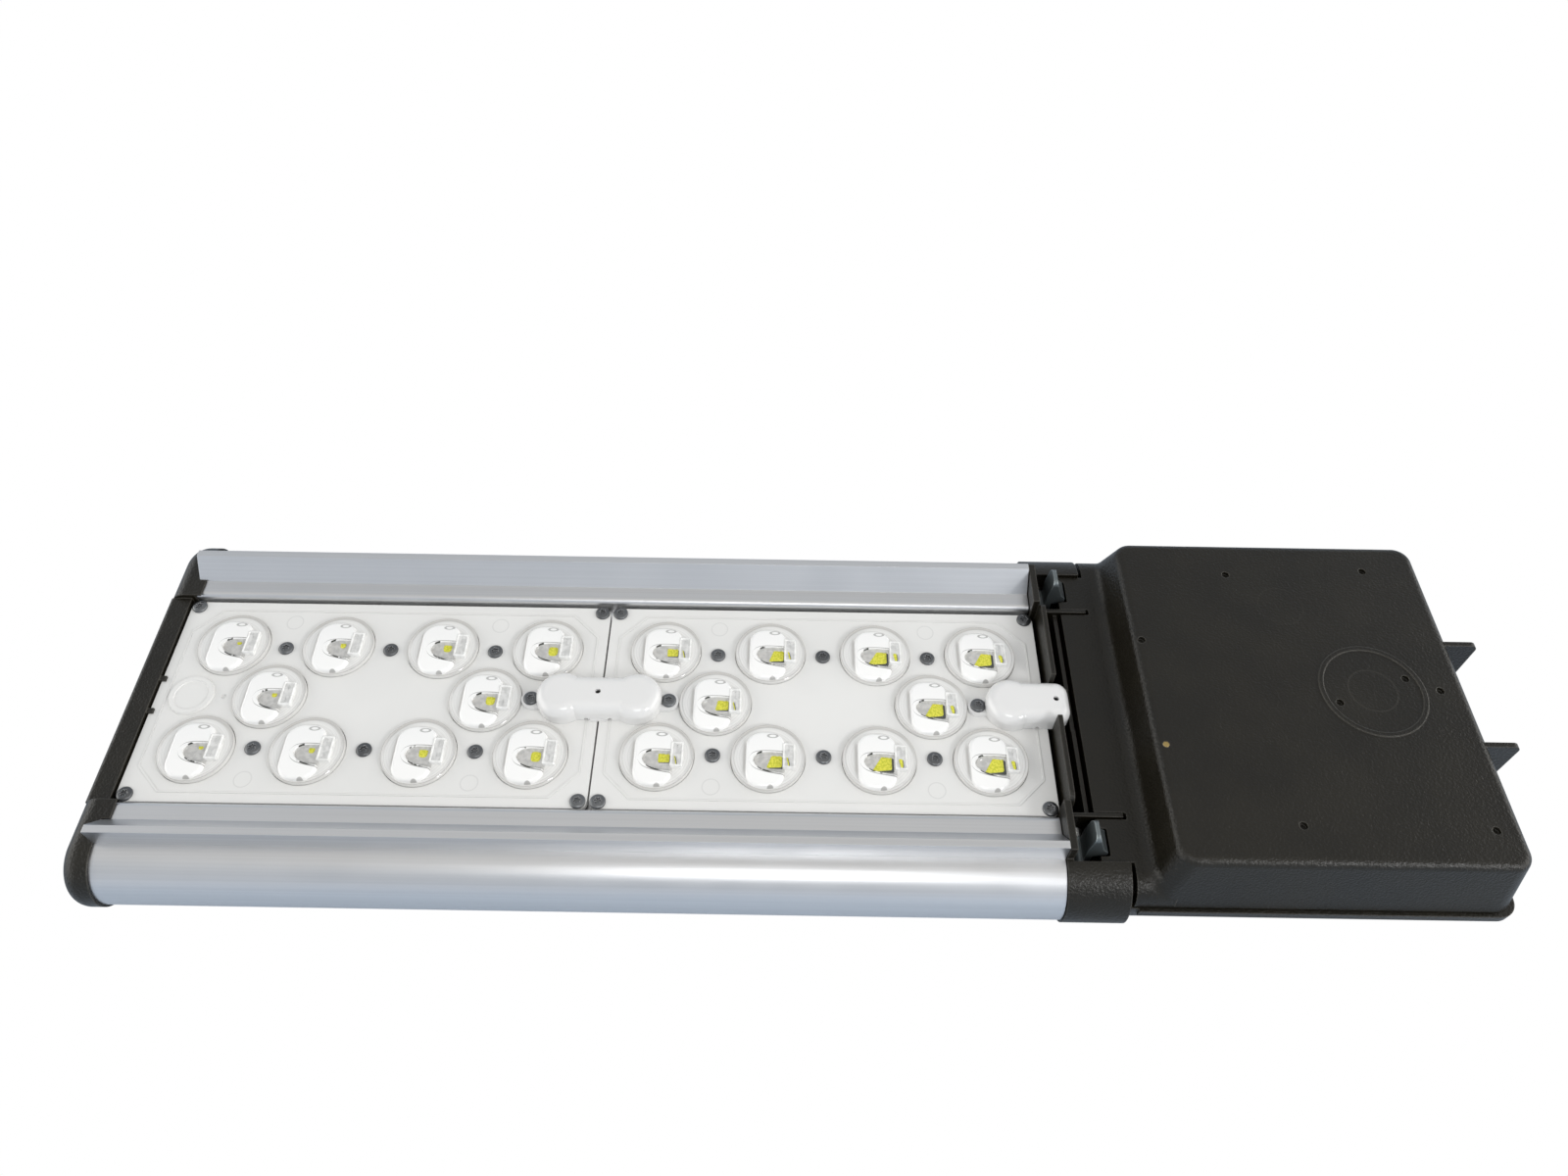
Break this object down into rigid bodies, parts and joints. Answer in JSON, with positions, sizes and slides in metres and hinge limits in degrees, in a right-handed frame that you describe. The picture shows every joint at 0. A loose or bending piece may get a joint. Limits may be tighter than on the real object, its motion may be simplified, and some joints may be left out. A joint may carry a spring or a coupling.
{
  "type": "led street light head",
  "caption": "LED street light head on its back: lens panels between silver rails, dark end cap and a hinged, latched gear door with two hinge arms.",
  "frame": {"origin": "on the pole arm's axis, half way along the arm clamp", "axes": "+X out of the clamp along the pole arm, +Z out of the lit face (the head lies on its back as in the picture), +Y across the head"},
  "size_m": [0.7496, 0.2268, 0.0806],
  "materials": {
    "anodised_aluminium": "satin anodised extrusion",
    "bronze_paint": "dark bronze powder coat, satin with a fine texture",
    "white_plate": "warm white moulding",
    "white_cover": "glossy white moulding",
    "clear_optic": "clear moulded acrylic",
    "board_white": "white solder mask",
    "phosphor": "yellow phosphor",
    "seal_rubber": "matte black",
    "screw_steel": "dark plated steel",
    "latch_steel": "satin stainless",
    "bolt_steel": "zinc plated",
    "driver_case": "plain can",
    "brass": "plain",
    "terminal_plastic": "black moulding",
    "surge_plastic": "grey moulding"
  },
  "bodies": {
    "head": {"heat_sink": "anodised_aluminium", "end_cap": "bronze_paint", "end_cap_screws": "screw_steel", "housing_screws": "screw_steel", "optic_plate_left": "white_plate", "optic_plate_right": "white_plate", "lens_sheet_left": "clear_optic", "lens_sheet_right": "clear_optic", "plate_gasket_left": "seal_rubber", "plate_gasket_right": "seal_rubber", "led_board_left": "board_white", "led_board_right": "board_white", "leds_left": "phosphor", "leds_right": "phosphor", "plate_screws_left": "screw_steel", "plate_screws_right": "screw_steel", "cover_screws": "screw_steel", "bridge_wire_cover": "white_cover", "end_wire_cover": "white_cover", "blank_plug": "white_plate", "upper_housing": "bronze_paint", "wire_grommet": "seal_rubber", "clamp_strap": "bolt_steel", "clamp_bolts": "bolt_steel", "hinge_pins": "latch_steel", "latch_pin_near": "bolt_steel", "latch_pin_far": "bolt_steel", "latch_spring_near": "bolt_steel", "latch_spring_far": "bolt_steel", "terminal_block": "terminal_plastic", "terminal_screws": "bolt_steel", "surge_protector": "surge_plastic", "ground_screw": "bolt_steel"},
    "door": {"door": "bronze_paint", "door_gasket": "seal_rubber", "driver": "driver_case", "driver_screws": "screw_steel", "brass_bonding_screw": "brass"},
    "latch_near": {"latch_near": "latch_steel"},
    "latch_far": {"latch_far": "latch_steel"}
  },
  "joints": [
    {"name": "door_hinge", "type": "hinge", "parent": "head", "child": "door", "pos_m": [0.044, 0, 0], "axis": [0, 1, 0], "range_deg": [0, 50]},
    {"name": "latch_near_pivot", "type": "hinge", "parent": "head", "child": "latch_near", "pos_m": [-0.1804, -0.08, 0.008], "axis": [0, 1, 0], "range_deg": [-12, 0], "stiffness_Nm_per_rad": 0.05, "springref_deg": 20.05},
    {"name": "latch_far_pivot", "type": "hinge", "parent": "head", "child": "latch_far", "pos_m": [-0.1804, 0.08, 0.008], "axis": [0, 1, 0], "range_deg": [-12, 0], "stiffness_Nm_per_rad": 0.05, "springref_deg": 20.05}
  ]
}
